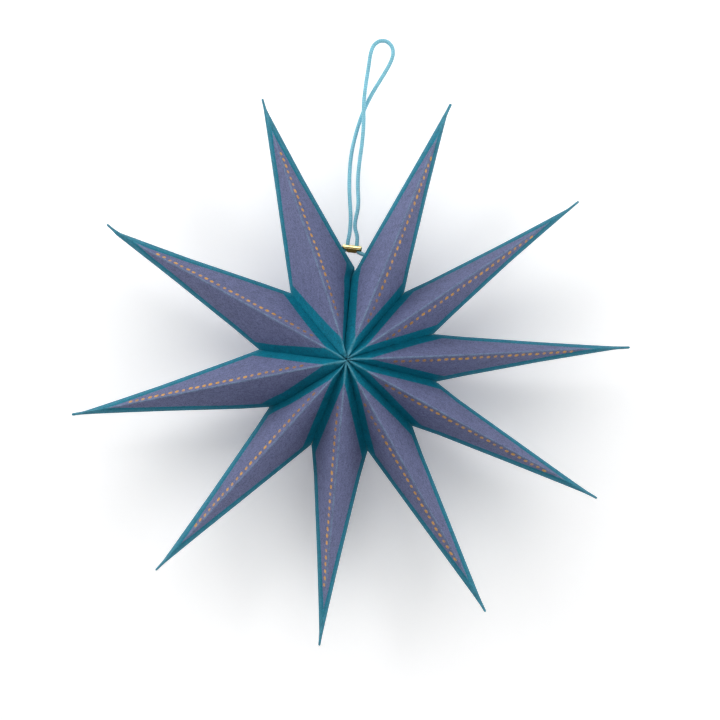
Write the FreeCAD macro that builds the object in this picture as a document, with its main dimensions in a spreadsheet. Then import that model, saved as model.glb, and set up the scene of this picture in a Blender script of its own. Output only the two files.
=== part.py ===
import FreeCAD, Part

import math
import os

import Sketcher
from FreeCAD import Placement, Rotation, Vector

# A hanging paper star. Ten folded paper points stand side by side round one hub and are glued
# face to face. The last face of the ring is left loose, so the flat stack opens like a fan, and
# a cord holds the two loose ends together: it comes out of the two end points, passes a small
# hollow brass clamp and rises to a loop.
#
# Frame: the origin is where a hook bears inside the top of the loop. +Z is up and the front of
# the star looks along -Y. The cord hangs in the plane y = 0 and the star's middle plane lies
# star_forward in front of it.
#
# Each point has its own frame: x runs out along the point from the hub's axis, y sideways,
# counter-clockwise as seen from the front, and z towards the front.

SIZES = {
    "tip_radius": (148.0, "hub axis to the blunt end of a point"),
    "apex_setback": (1.9, "from there back to where the straight edges would meet"),
    "notch_radius": (47.6, "hub axis to the notch between two points"),
    "half_depth": (34.8, "middle plane to the hub's front, and to its back"),
    "sheet": (0.4, "thickness of the paper"),
    "tip_width": (1.3, "pinched end of a point, seen from the front"),
    "tip_depth": (1.6, "pinched end of a point, seen from the side"),
    "hub_hole": (0.8, "radius of the small hole that the points leave at the hub"),
    "glued_nose": (3.0, "hub axis to where a point's layers open"),
    "glued_tip": (8.0, "length of the layers glued together in the pinched end"),
    "glue_slit": (0.6, "gap between the front and back glue flaps of one side"),
    "slit_end": (1.5, "from the end of that gap to the notch"),
    "star_left": (18.8, "hub axis left of the hanging point"),
    "star_drop": (171.7, "hub axis below the hanging point"),
    "star_forward": (2.4, "middle plane in front of the cord's plane"),
    "first_bearing": (68.45, "direction of the first point, anticlockwise from the right"),
    "cord_diameter": (2.2, "knitted cord"),
    "cord_hole": (3.2, "punched hole for the cord in each end point"),
    "first_hole_reach": (56.6, "hub axis to the first point's hole, along the point"),
    "last_hole_reach": (57.8, "hub axis to the last point's hole, along the point"),
    "knot_diameter": (5.2, "stopper knot inside an end point"),
    "clamp_length": (10.7, "brass clamp, along the bar"),
    "clamp_height": (3.1, "brass clamp, along the cord"),
    "clamp_depth": (4.0, "brass clamp, front to back"),
    "clamp_wall": (0.3, "sheet brass of the clamp"),
    "clamp_end": (0.6, "folded ends of the clamp, thicker than its wall"),
    "clamp_rounding": (1.1, "rounded ends of the clamp"),
    "clamp_left": (16.8, "clamp's middle left of the hanging point"),
    "clamp_drop": (110.7, "clamp's middle below the hanging point"),
    "clamp_tilt": (7.0, "right end lower than the left, in degrees"),
    "window_top": (0.6, "top of the windows in the clamp's bottom, and of its tab, below mid-height"),
    "strand_spacing": (5.0, "between the two strands at the clamp"),
    "strand_clearance": (0.3, "round a strand where it passes the clamp"),
    "tab_width": (5.6, "folded tab on the clamp's front"),
    "tab_drop": (1.2, "tab below the bar"),
    "tab_thickness": (0.7, "folded tab, front to back"),
    "tab_rounding": (0.9, "lower corners of the tab"),
}

# Opening angle of each folded point, clockwise from the one to the right of the loose faces.
# They add up to a little less than a turn: the rest is the open slit.
OPENINGS = (34.4, 33.1, 30.6, 32.3, 32.8, 36.6, 36.8, 37.4, 42.3, 43.0)

# The cord's route, from the knot in the last point, through the clamp, up and round the loop and
# down to the knot in the first point. The strand that rises first passes behind the other.
CORD_ROUTE = (
    (-25.1, 0.0, -113.0),
    (-22.3, 0.0, -112.2),
    (-19.4, 0.0, -111.2),
    (-19.1, 0.0, -107.6),
    (-17.9, 0.0, -101.9),
    (-17.4, 0.1, -93.5),
    (-18.2, 0.3, -83.0),
    (-18.3, 0.7, -71.5),
    (-17.4, 1.2, -60.0),
    (-14.9, 1.5, -48.8),
    (-11.4, 1.6, -37.8),
    (-6.6, 1.4, -27.6),
    (-0.9, 0.9, -18.6),
    (3.5, 0.4, -11.3),
    (5.4, 0.1, -6.3),
    (5.0, 0.0, -2.0),
    (2.2, 0.0, 1.2),
    (-2.0, 0.0, 1.6),
    (-5.4, 0.0, -1.0),
    (-7.0, -0.1, -5.8),
    (-8.0, -0.5, -13.5),
    (-9.6, -1.0, -23.5),
    (-10.7, -1.4, -34.0),
    (-10.5, -1.4, -44.0),
    (-11.4, -1.1, -55.0),
    (-13.1, -0.7, -66.0),
    (-13.9, -0.3, -77.0),
    (-13.1, 0.0, -88.0),
    (-15.8, 0.0, -98.6),
    (-13.8, 0.0, -104.4),
    (-14.3, 0.0, -109.3),
    (-14.2, 0.0, -112.6),
    (-10.6, 0.0, -114.3),
    (-6.9, 0.0, -115.55),
)

# An arc of the cord takes this share of the shorter run beside its point.
ARC_SHARE = 0.45

doc = FreeCAD.newDocument("paper_star")


def make_sheet():
    """Put every driving dimension in a cell of its own, with its alias and a note beside it."""
    table = doc.addObject("Spreadsheet::Sheet", "Sizes")
    entries = [(alias, value, note) for alias, (value, note) in SIZES.items()]
    for number, opening in enumerate(OPENINGS, start=1):
        entries.append((f"opening_{number:02d}", opening, f"opening angle of point {number}"))
    for row, (alias, value, note) in enumerate(entries, start=1):
        table.set(f"A{row}", note)
        table.set(f"B{row}", str(value))
        table.setAlias(f"B{row}", alias)
    doc.recompute()
    return table


sheet = make_sheet()


def size(alias):
    """Value of a cell as a plain number."""
    return float(sheet.get(alias))


def new_body(label):
    """An empty body that becomes one sub-part, named by its label."""
    body = doc.addObject("PartDesign::Body", label)
    body.Label = label
    return body


def origin_plane(body, role):
    """One of the body's own origin planes."""
    return next(feature for feature in body.Origin.OriginFeatures if feature.Role == role)


def new_sketch(body, name, role, offset=None):
    """A sketch on an origin plane of its body, shifted along the plane's normal by an expression."""
    sketch = body.newObject("Sketcher::SketchObject", name)
    sketch.AttachmentSupport = [(origin_plane(body, role), "")]
    sketch.MapMode = "FlatFace"
    if offset is not None:
        sketch.setExpression("AttachmentOffset.Base.z", offset)
    return sketch


def bind(sketch, kind, place, expression, start=1.0):
    """Add a driving constraint and tie it to the sheet."""
    index = sketch.addConstraint(Sketcher.Constraint(kind, *place, start))
    sketch.setExpression(f"Constraints[{index}]", expression)


def closed_outline(sketch, corners):
    """Straight lines from corner to corner, joined into one closed outline."""
    count = len(corners)
    for index, (x, y) in enumerate(corners):
        far_x, far_y = corners[(index + 1) % count]
        sketch.addGeometry(Part.LineSegment(Vector(x, y, 0), Vector(far_x, far_y, 0)), False)
    for index in range(count):
        sketch.addConstraint(Sketcher.Constraint("Coincident", index, 2, (index + 1) % count, 1))


def six_sided_section(body, name, reach, ridge, half_width, half_seam):
    """Section of a folded point square to its axis: two ridges and two upright side edges.

    The ridges lie at z = +-ridge and the side edges at y = +-half_width, from z = -half_seam to
    z = +half_seam.
    """
    sketch = new_sketch(body, name, "YZ_Plane", reach)
    closed_outline(sketch, ((0, 3), (-2, 1), (-2, -1), (0, -3), (2, -1), (2, 1)))
    sketch.addConstraint(Sketcher.Constraint("PointOnObject", 0, 1, -2))
    for first, opposite in ((0, 3), (1, 4), (2, 5)):
        sketch.addConstraint(Sketcher.Constraint("Symmetric", first, 1, opposite, 1, -1, 1))
    sketch.addConstraint(Sketcher.Constraint("Vertical", 4))
    sketch.addConstraint(Sketcher.Constraint("Horizontal", 1, 1, 5, 1))
    bind(sketch, "DistanceY", (-1, 1, 0, 1), ridge)
    bind(sketch, "DistanceX", (-1, 1, 5, 1), half_width)
    bind(sketch, "DistanceY", (-1, 1, 5, 1), half_seam)
    return sketch


def loft(body, kind, name, sections):
    """Straight walls from each section to the next."""
    feature = body.newObject(kind, name)
    feature.Profile = sections[0]
    feature.Sections = sections[1:]
    feature.Ruled = True
    return feature


def folded_point(number):
    """One point: a sheet folded into a hollow kite, with a glue face on either side of the hub.

    The four facets meet in a front ridge, a back ridge and two side folds. All their lines run to
    one apex just short of the blunt tip. From the hub's axis to the notches the sides are flat
    glue faces, each in two flaps with a slit between them, which lets the point fold flat.
    """
    body = new_body(f"point_{number:02d}")
    half = f"(Sizes.opening_{number:02d} / 2)"
    apex = "(Sizes.tip_radius - Sizes.apex_setback)"
    notch = f"(Sizes.notch_radius * cos({half}))"
    rise = "(Sizes.half_depth - Sizes.sheet)"
    neck = f"({apex} - Sizes.tip_width / 2 * ({apex} - {notch}) / (Sizes.notch_radius * sin({half})))"

    def ridge(reach):
        return f"(Sizes.sheet + {rise} * (1 - ({reach}) / {apex}))"

    outside = (
        six_sided_section(
            body,
            "hub_section",
            "Sizes.hub_hole",
            ridge("Sizes.hub_hole"),
            f"Sizes.hub_hole * tan({half})",
            f"Sizes.sheet + {rise} * (1 - Sizes.hub_hole / {notch})",
        ),
        six_sided_section(
            body,
            "notch_section",
            notch,
            ridge(notch),
            f"Sizes.notch_radius * sin({half})",
            "Sizes.sheet",
        ),
        six_sided_section(body, "neck_section", neck, ridge(neck), "Sizes.tip_width / 2", "Sizes.sheet"),
        six_sided_section(
            body,
            "tip_section",
            "Sizes.tip_radius",
            "Sizes.tip_depth / 2",
            "Sizes.tip_width / 2",
            "Sizes.sheet",
        ),
    )
    loft(body, "PartDesign::AdditiveLoft", "outside", outside)

    # Inside, every facet is set back by the sheet. Across a section a facet falls by fall for
    # each millimetre sideways, so the inner ridge lies ridge_drop below the outer one.
    fall = f"(({apex} - {notch}) * {rise} / ({notch} * tan({half}) * {apex}))"
    ridge_drop = f"(Sizes.sheet * sqrt(1 + {fall} * {fall} + ({rise} / {apex}) * ({rise} / {apex})))"
    nose_half = f"(Sizes.glued_nose * tan({half}) - Sizes.sheet / cos({half}))"
    half_seam = "(Sizes.sheet / 2)"

    def inner_ridge(reach):
        return f"({ridge(reach)} - {ridge_drop})"

    def inner_half(reach):
        return f"(({inner_ridge(reach)} - {half_seam}) / {fall})"

    end = f"({apex} - Sizes.glued_tip)"
    inside = (
        six_sided_section(
            body,
            "inner_nose_section",
            "Sizes.glued_nose",
            inner_ridge("Sizes.glued_nose"),
            nose_half,
            f"{inner_ridge('Sizes.glued_nose')} - {fall} * {nose_half}",
        ),
        six_sided_section(
            body, "inner_notch_section", notch, inner_ridge(notch), inner_half(notch), half_seam
        ),
        six_sided_section(body, "inner_end_section", end, inner_ridge(end), inner_half(end), half_seam),
    )
    loft(body, "PartDesign::SubtractiveLoft", "inside", inside)

    slit = new_sketch(body, "slit_outline", "XZ_Plane")
    closed_outline(slit, ((0, 1), (9, 1), (9, -1), (0, -1)))
    for line in (0, 2):
        slit.addConstraint(Sketcher.Constraint("Horizontal", line))
    slit.addConstraint(Sketcher.Constraint("Vertical", 1))
    slit.addConstraint(Sketcher.Constraint("Symmetric", 0, 1, 3, 1, -1, 1))
    slit.addConstraint(Sketcher.Constraint("PointOnObject", 0, 1, -2))
    bind(slit, "DistanceX", (-1, 1, 1, 1), f"{notch} - Sizes.slit_end", 9.0)
    bind(slit, "DistanceY", (-1, 1, 1, 1), "Sizes.glue_slit / 2")
    cut_through(body, "slit", slit)
    return body


def cut_through(body, name, sketch):
    """Cut the outline through the whole body, to both sides of its plane."""
    pocket = body.newObject("PartDesign::Pocket", name)
    pocket.Profile = sketch
    pocket.Type = "ThroughAll"
    pocket.SideType = "Symmetric"
    return pocket


def cut_one_way(body, name, sketch, reverse):
    """Cut the outline through the body to one side of its plane."""
    pocket = body.newObject("PartDesign::Pocket", name)
    pocket.Profile = sketch
    pocket.Type = "ThroughAll"
    pocket.Reversed = reverse
    return pocket


def circle(sketch, x, y, diameter):
    """A circle whose centre and diameter are tied to the sheet. x and y are expressions."""
    index = sketch.addGeometry(Part.Circle(Vector(2, 2, 0), Vector(0, 0, 1), 1.0), False)
    bind(sketch, "DistanceX", (-1, 1, index, 3), x)
    bind(sketch, "DistanceY", (-1, 1, index, 3), y)
    bind(sketch, "Diameter", (index,), diameter)


def rectangle(sketch, left, right, low, high):
    """An upright rectangle with each side's place tied to the sheet."""
    closed_outline(sketch, ((-3, -2), (3, -2), (3, 2), (-3, 2)))
    for line in (0, 2):
        sketch.addConstraint(Sketcher.Constraint("Horizontal", line))
    for line in (1, 3):
        sketch.addConstraint(Sketcher.Constraint("Vertical", line))
    bind(sketch, "DistanceX", (-1, 1, 0, 1), left, -3.0)
    bind(sketch, "DistanceX", (-1, 1, 2, 1), right, 3.0)
    bind(sketch, "DistanceY", (-1, 1, 0, 1), low, -2.0)
    bind(sketch, "DistanceY", (-1, 1, 2, 1), high, 2.0)


def cord_hole(body, reach, to_left):
    """Punched hole in the back facet of an end point, just behind its side fold."""
    sketch = new_sketch(body, "cord_hole_outline", "XZ_Plane")
    circle(sketch, reach, "-Sizes.star_forward", "Sizes.cord_hole")
    return cut_one_way(body, "cord_hole", sketch, not to_left)


def star_placement(bearing):
    """Stand a point's own frame in the star: its axis at the bearing, its front towards -Y."""
    centre = Vector(-size("star_left"), -size("star_forward"), -size("star_drop"))
    upright = Rotation(Vector(1, 0, 0), 90)
    return Placement(centre, upright.multiply(Rotation(Vector(0, 0, 1), bearing)))


def stadium(sketch, height, depth):
    """Oval outline with half-round top and bottom, centred on the sheet's x axis.

    Sketch x is the depth and sketch y the height: two arcs of the same radius stand side by side
    and are joined by flat lines.
    """
    right = sketch.addGeometry(
        Part.ArcOfCircle(Part.Circle(Vector(1, 0, 0), Vector(0, 0, 1), 1), -math.pi / 2, math.pi / 2), False
    )
    left = sketch.addGeometry(
        Part.ArcOfCircle(Part.Circle(Vector(-1, 0, 0), Vector(0, 0, 1), 1), math.pi / 2, 3 * math.pi / 2), False
    )
    top = sketch.addGeometry(Part.LineSegment(Vector(1, 1, 0), Vector(-1, 1, 0)), False)
    bottom = sketch.addGeometry(Part.LineSegment(Vector(-1, -1, 0), Vector(1, -1, 0)), False)
    sketch.addConstraint(Sketcher.Constraint("Tangent", right, 2, top, 1))
    sketch.addConstraint(Sketcher.Constraint("Tangent", top, 2, left, 1))
    sketch.addConstraint(Sketcher.Constraint("Tangent", left, 2, bottom, 1))
    sketch.addConstraint(Sketcher.Constraint("Tangent", bottom, 2, right, 1))
    sketch.addConstraint(Sketcher.Constraint("Symmetric", right, 3, left, 3, -1, 1))
    sketch.addConstraint(Sketcher.Constraint("PointOnObject", right, 3, -1))
    sketch.addConstraint(Sketcher.Constraint("Equal", right, left))
    bind(sketch, "Radius", (right,), f"({height}) / 2")
    bind(sketch, "DistanceX", (-1, 1, right, 3), f"({depth}) / 2 - ({height}) / 2")


def pad(body, name, sketch, length, symmetric=True):
    """Grow the outline into a solid of the given length."""
    feature = body.newObject("PartDesign::Pad", name)
    feature.Profile = sketch
    feature.SideType = "Symmetric" if symmetric else "One side"
    feature.setExpression("Length", length)
    return feature


def brass_clamp():
    """Hollow oval bar of sheet brass, with a folded tab on its front.

    The strands enter through two holes in its top, turn outwards inside it and leave through
    windows in its bottom, one at each end.
    """
    body = new_body("brass_clamp")
    section = new_sketch(body, "bar_section", "YZ_Plane")
    stadium(section, "Sizes.clamp_height", "Sizes.clamp_depth")
    bar = pad(body, "bar", section, "Sizes.clamp_length")
    doc.recompute()
    ends = [
        f"Edge{number}"
        for number, edge in enumerate(bar.Shape.Edges, start=1)
        if edge.BoundBox.XLength < Part.Precision.confusion() * 10
    ]
    rounding = body.newObject("PartDesign::Fillet", "rounded_ends")
    rounding.Base = (bar, ends)
    rounding.setExpression("Radius", "Sizes.clamp_rounding")

    tab = new_sketch(body, "tab_outline", "XZ_Plane", "Sizes.clamp_depth / 2 - Sizes.tab_thickness")
    tab_outline(tab)
    pad(body, "tab", tab, "Sizes.tab_thickness", symmetric=False)

    hollow = new_sketch(body, "hollow_section", "YZ_Plane")
    stadium(
        hollow,
        "Sizes.clamp_height - 2 * Sizes.clamp_wall",
        "Sizes.clamp_depth - 2 * Sizes.clamp_wall",
    )
    inside = body.newObject("PartDesign::Pocket", "hollow")
    inside.Profile = hollow
    inside.SideType = "Symmetric"
    inside.setExpression("Length", "Sizes.clamp_length - 2 * Sizes.clamp_end")

    strands = new_sketch(body, "strand_holes_outline", "XY_Plane")
    for side in ("-", ""):
        circle(
            strands,
            f"{side}Sizes.strand_spacing / 2",
            "0",
            "Sizes.cord_diameter + 2 * Sizes.strand_clearance",
        )
    cut_one_way(body, "strand_holes", strands, True)

    half_window = "Sizes.cord_diameter / 2 + Sizes.strand_clearance / 2"
    near = f"Sizes.strand_spacing / 2 - ({half_window})"
    for name, left, right in (
        ("left_window", "-Sizes.clamp_length", f"-({near})"),
        ("right_window", near, "Sizes.clamp_length"),
    ):
        window = new_sketch(body, f"{name}_outline", "XY_Plane", "-Sizes.window_top")
        rectangle(window, left, right, f"-({half_window})", half_window)
        cut_one_way(body, name, window, False)
    return body


def tab_outline(sketch):
    """Tab hanging below the bar, with its two lower corners rounded."""
    quarter = math.pi / 2
    left = sketch.addGeometry(Part.LineSegment(Vector(-3, 0, 0), Vector(-3, -2, 0)), False)
    left_corner = sketch.addGeometry(
        Part.ArcOfCircle(Part.Circle(Vector(-2, -2, 0), Vector(0, 0, 1), 1), 2 * quarter, 3 * quarter), False
    )
    bottom = sketch.addGeometry(Part.LineSegment(Vector(-2, -3, 0), Vector(2, -3, 0)), False)
    right_corner = sketch.addGeometry(
        Part.ArcOfCircle(Part.Circle(Vector(2, -2, 0), Vector(0, 0, 1), 1), 3 * quarter, 4 * quarter), False
    )
    right = sketch.addGeometry(Part.LineSegment(Vector(3, -2, 0), Vector(3, 0, 0)), False)
    top = sketch.addGeometry(Part.LineSegment(Vector(3, 0, 0), Vector(-3, 0, 0)), False)
    sketch.addConstraint(Sketcher.Constraint("Tangent", left, 2, left_corner, 1))
    sketch.addConstraint(Sketcher.Constraint("Tangent", left_corner, 2, bottom, 1))
    sketch.addConstraint(Sketcher.Constraint("Tangent", bottom, 2, right_corner, 1))
    sketch.addConstraint(Sketcher.Constraint("Tangent", right_corner, 2, right, 1))
    sketch.addConstraint(Sketcher.Constraint("Coincident", right, 2, top, 1))
    sketch.addConstraint(Sketcher.Constraint("Coincident", top, 2, left, 1))
    sketch.addConstraint(Sketcher.Constraint("Vertical", left))
    sketch.addConstraint(Sketcher.Constraint("Vertical", right))
    sketch.addConstraint(Sketcher.Constraint("Horizontal", top))
    sketch.addConstraint(Sketcher.Constraint("Horizontal", bottom))
    sketch.addConstraint(Sketcher.Constraint("Equal", left_corner, right_corner))
    bind(sketch, "Radius", (left_corner,), "Sizes.tab_rounding")
    bind(sketch, "DistanceX", (-1, 1, top, 1), "Sizes.tab_width / 2", 3.0)
    bind(sketch, "DistanceX", (-1, 1, top, 2), "-Sizes.tab_width / 2", -3.0)
    bind(sketch, "DistanceY", (-1, 1, top, 1), "-Sizes.window_top", -0.1)
    bind(sketch, "DistanceY", (-1, 1, bottom, 1), "-Sizes.clamp_height / 2 - Sizes.tab_drop", -3.0)


def cord_path():
    """The route as straight runs joined by arcs, each tangent to the runs that it joins."""
    points = [Vector(*point) for point in CORD_ROUTE]
    edges = []
    radii = []
    last = points[0]
    for before, corner, after in zip(points, points[1:], points[2:]):
        back = before - corner
        ahead = after - corner
        turn = math.pi - back.getAngle(ahead)
        reach = ARC_SHARE * min(back.Length, ahead.Length)
        back.normalize()
        ahead.normalize()
        start = corner + back * reach
        end = corner + ahead * reach
        radius = reach / math.tan(turn / 2)
        middle = back + ahead
        middle.normalize()
        half_gap = radius / math.cos(turn / 2) - radius
        edges.append(Part.LineSegment(last, start).toShape())
        edges.append(Part.Arc(start, corner + middle * half_gap, end).toShape())
        radii.append(radius)
        last = end
    edges.append(Part.LineSegment(last, points[-1]).toShape())
    return Part.Wire(edges), radii


def hanging_cord():
    """Plain tube along the cord's path, from one knot to the other."""
    path, radii = cord_path()
    radius = size("cord_diameter") / 2
    start = Vector(*CORD_ROUTE[0])
    heading = Vector(*CORD_ROUTE[1]) - start
    profile = Part.Wire(Part.Circle(start, heading, radius).toShape())
    feature = doc.addObject("Part::Feature", "hanging_cord")
    feature.Label = "hanging_cord"
    feature.Shape = path.makePipeShell([profile], True, True)
    expected = math.pi * radius**2 * path.Length
    print(f"cord: {path.Length:.1f} mm, arc radii", " ".join(f"{r:.1f}" for r in radii))
    print(f"cord: volume {feature.Shape.Volume:.1f}, section times length {expected:.1f}")
    return feature


def cord_knot(label, end, neighbour):
    """Stopper knot on an end of the cord: a ball with a flat where the cord runs into it."""
    knot = doc.addObject("Part::Sphere", label)
    knot.Label = label
    knot.setExpression("Radius", "Sizes.knot_diameter / 2")
    knot.setExpression("Angle2", "acos(Sizes.cord_diameter / Sizes.knot_diameter)")
    outwards = Vector(*neighbour) - Vector(*end)
    outwards.normalize()
    flat = math.sqrt(size("knot_diameter") ** 2 - size("cord_diameter") ** 2) / 2
    knot.Placement = Placement(Vector(*end) - outwards * flat, Rotation(Vector(0, 0, 1), outwards))
    return knot


def check(parts):
    """Stop before anything is written if an object failed or a sub-part has no sound solid."""
    for item in doc.Objects:
        if "Invalid" in item.State or "Error" in item.State:
            raise RuntimeError(f"{item.Name} failed: {item.State}")
        if item.TypeId == "Sketcher::SketchObject" and not item.FullyConstrained:
            raise RuntimeError(f"{item.Name} is not fully constrained")
    for part in parts:
        shape = part.Shape
        if shape.isNull() or not shape.isValid() or len(shape.Solids) != 1:
            raise RuntimeError(f"{part.Label} is not one sound solid")


def main():
    count = len(OPENINGS)
    points = [folded_point(number) for number in range(1, count + 1)]
    first = points[0]
    last = points[-1]
    cord_hole(first, "Sizes.first_hole_reach", True)
    cord_hole(last, "Sizes.last_hole_reach", False)
    clamp = brass_clamp()
    doc.recompute()

    bearing = size("first_bearing")
    half_before = size("opening_01") / 2
    for number, point in enumerate(points, start=1):
        half = size(f"opening_{number:02d}") / 2
        if number > 1:
            bearing -= half_before + half
        point.Placement = star_placement(bearing)
        half_before = half
    clamp.Placement = Placement(
        Vector(-size("clamp_left"), 0, -size("clamp_drop")),
        Rotation(Vector(0, 1, 0), size("clamp_tilt")),
    )

    cord = hanging_cord()
    knots = (
        cord_knot("knot_in_last_point", CORD_ROUTE[0], CORD_ROUTE[1]),
        cord_knot("knot_in_first_point", CORD_ROUTE[-1], CORD_ROUTE[-2]),
    )
    doc.recompute()

    parts = [*points, clamp, cord, *knots]
    check(parts)
    os.makedirs("parts", exist_ok=True)
    for part in parts:
        part.Shape.exportStep(f"parts/{part.Label}.step")
        box = part.Shape.BoundBox
        print(f"{part.Label}: {part.Shape.Volume:.1f} mm3, {box.XLength:.1f} x {box.YLength:.1f} x {box.ZLength:.1f}")


main()
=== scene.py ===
# %% [markdown]
# # A folded paper star on its cord
#
# The star is made of ten folded paper points, glued face to face round a hub. A knitted cord
# comes out of the two loose end points, runs through a small brass clamp and rises to a loop.
#
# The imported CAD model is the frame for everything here: its origin is where a hook bears inside
# the loop, +Z is up and the front of the star looks along -Y. Each piece below is made in that
# frame, in metres, so nothing has to be fitted afterwards.

import math

import bpy
import numpy as np
from mathutils import Matrix, Vector


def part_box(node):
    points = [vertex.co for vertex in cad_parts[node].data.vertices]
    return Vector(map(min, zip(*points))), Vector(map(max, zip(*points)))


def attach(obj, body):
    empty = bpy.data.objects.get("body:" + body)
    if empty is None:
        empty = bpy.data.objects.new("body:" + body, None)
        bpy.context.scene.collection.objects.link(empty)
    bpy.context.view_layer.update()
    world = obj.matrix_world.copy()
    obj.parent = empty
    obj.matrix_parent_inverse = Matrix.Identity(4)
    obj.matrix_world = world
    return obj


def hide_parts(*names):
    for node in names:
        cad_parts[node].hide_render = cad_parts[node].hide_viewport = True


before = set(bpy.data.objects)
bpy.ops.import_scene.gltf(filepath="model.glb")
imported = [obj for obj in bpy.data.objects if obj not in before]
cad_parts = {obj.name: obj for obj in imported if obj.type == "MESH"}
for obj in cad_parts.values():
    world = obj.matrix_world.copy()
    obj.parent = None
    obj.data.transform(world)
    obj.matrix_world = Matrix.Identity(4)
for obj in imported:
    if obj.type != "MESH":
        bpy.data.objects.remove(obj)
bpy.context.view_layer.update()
MM = 0.001

# %% [markdown]
# The camera stands about half a metre in front of the star, a little to the right of its middle
# and a little below it, and looks up by two and a half degrees. A real photographer's distance
# matters: from nearer by, the hub would look larger against the tips.

# %% Place the camera
CAMERA_PLACE = Vector((-4.586, -529.46, -194.265)) * MM
CAMERA_AIM = Vector((-0.01503, 0.99887, 0.04510)).normalized()


def add_camera(place, aim, lens):
    """Camera at a place, looking along aim, with its picture upright."""
    right = aim.cross(Vector((0, 0, 1))).normalized()
    up = right.cross(aim)
    camera = bpy.data.objects.new("camera", bpy.data.cameras.new("camera"))
    camera.data.lens = lens
    camera.data.sensor_width = 36
    camera.data.clip_start = 0.01
    turn = Matrix((right, up, -aim)).transposed()
    camera.matrix_world = Matrix.Translation(place) @ turn.to_4x4()
    bpy.context.scene.collection.objects.link(camera)
    bpy.context.scene.camera = camera
    return camera


camera = add_camera(CAMERA_PLACE, CAMERA_AIM, 50)
print("camera looks from", [round(v, 3) for v in camera.location])

# %% [markdown]
# ## The cord's line
#
# The cord goes where the CAD tube goes. The same points become the control points of
# one NURBS spline, which rounds every bend the way a limp cord does. Blender works the smooth
# line out, and the knitted tube below follows it.

# %% Lay the cord's route
CORD_ROUTE = np.array([
    (-25.1, 0.0, -113.0),
    (-22.3, 0.0, -112.2),
    (-19.4, 0.0, -111.2),
    (-19.1, 0.0, -107.6),
    (-17.9, 0.0, -101.9),
    (-17.4, 0.1, -93.5),
    (-18.2, 0.3, -83.0),
    (-18.3, 0.7, -71.5),
    (-17.4, 1.2, -60.0),
    (-14.9, 1.5, -48.8),
    (-11.4, 1.6, -37.8),
    (-6.6, 1.4, -27.6),
    (-0.9, 0.9, -18.6),
    (3.5, 0.4, -11.3),
    (5.4, 0.1, -6.3),
    (5.0, 0.0, -2.0),
    (2.2, 0.0, 1.2),
    (-2.0, 0.0, 1.6),
    (-5.4, 0.0, -1.0),
    (-7.0, -0.1, -5.8),
    (-8.0, -0.5, -13.5),
    (-9.6, -1.0, -23.5),
    (-10.7, -1.4, -34.0),
    (-10.5, -1.4, -44.0),
    (-11.4, -1.1, -55.0),
    (-13.1, -0.7, -66.0),
    (-13.9, -0.3, -77.0),
    (-13.1, 0.0, -88.0),
    (-15.8, 0.0, -98.6),
    (-13.8, 0.0, -104.4),
    (-14.3, 0.0, -109.3),
    (-14.2, 0.0, -112.6),
    (-10.6, 0.0, -114.3),
    (-6.9, 0.0, -115.55),
]) * MM
CORD_DIAMETER = 2.2 * MM
SPLINE_STEPS = 12


def smooth_line(name, route, steps):
    """Points along one open NURBS spline whose control points are the route."""
    curve = bpy.data.curves.new(name, "CURVE")
    curve.dimensions = "3D"
    curve.resolution_u = steps
    spline = curve.splines.new("NURBS")
    spline.points.add(len(route) - 1)
    weights = np.ones((len(route), 1))
    spline.points.foreach_set("co", np.hstack([route, weights]).ravel())
    spline.order_u = 3
    spline.use_endpoint_u = True
    carrier = bpy.data.objects.new(name, curve)
    line = bpy.data.meshes.new_from_object(carrier)
    places = np.zeros(len(line.vertices) * 3)
    line.vertices.foreach_get("co", places)
    bpy.data.objects.remove(carrier)
    bpy.data.meshes.remove(line)
    bpy.data.curves.remove(curve)
    return places.reshape(-1, 3)


def run_lengths(line):
    """Distance along the line from its start to each of its points."""
    steps = np.linalg.norm(np.diff(line, axis=0), axis=1)
    return np.concatenate([[0.0], np.cumsum(steps)])


cord_line = smooth_line("cord_line", CORD_ROUTE, SPLINE_STEPS)

# %% [markdown]
# ## Helpers for meshes
#
# Every surface here is a grid: one row of points after another, worked out with numpy as whole
# arrays. A ring closes on itself, and the two ends are either left open or capped with one face.

# %% Turn grids into meshes
def ring_faces(rows, columns, start=0):
    """Four-sided faces between neighbouring rings of a closed grid, wound so they look outwards."""
    row, column = np.meshgrid(np.arange(rows - 1), np.arange(columns), indexing="ij")
    beside = (column + 1) % columns
    here = row * columns
    ahead = here + columns
    corners = np.stack([here + column, here + beside, ahead + beside, ahead + column], axis=-1)
    return corners.reshape(-1, 4) + start


def mesh_piece(name, points, faces, material, body="root", smooth=True):
    """A piece of the object made from points in metres and faces, riding on a body."""
    mesh = bpy.data.meshes.new(name)
    mesh.from_pydata(points.tolist(), [], faces)
    mesh.update()
    mesh.shade_smooth() if smooth else mesh.shade_flat()
    mesh.materials.append(material)
    piece = bpy.data.objects.new(name, mesh)
    bpy.context.scene.collection.objects.link(piece)
    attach(piece, body)
    return piece


def store(piece, name, values):
    """Keep three numbers for each point of a mesh under a name that a material can read."""
    attribute = piece.data.attributes.new(name, "FLOAT_VECTOR", "POINT")
    attribute.data.foreach_set("vector", np.ascontiguousarray(values, dtype=np.float32).ravel())


# %% [markdown]
# ## Helpers for materials
#
# A material is a small network of nodes. The helper makes one node and wires its inputs in one
# line: an input is either a plain number or colour, or the output of another node.

# %% Wire nodes
def start_material(name):
    """A new material with an empty network, its Principled shader and its output."""
    material = bpy.data.materials.new(name)
    material.use_nodes = True
    tree = material.node_tree
    tree.nodes.clear()
    shader = tree.nodes.new("ShaderNodeBsdfPrincipled")
    output = tree.nodes.new("ShaderNodeOutputMaterial")
    tree.links.new(shader.outputs["BSDF"], output.inputs["Surface"])
    return material, tree, shader


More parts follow.
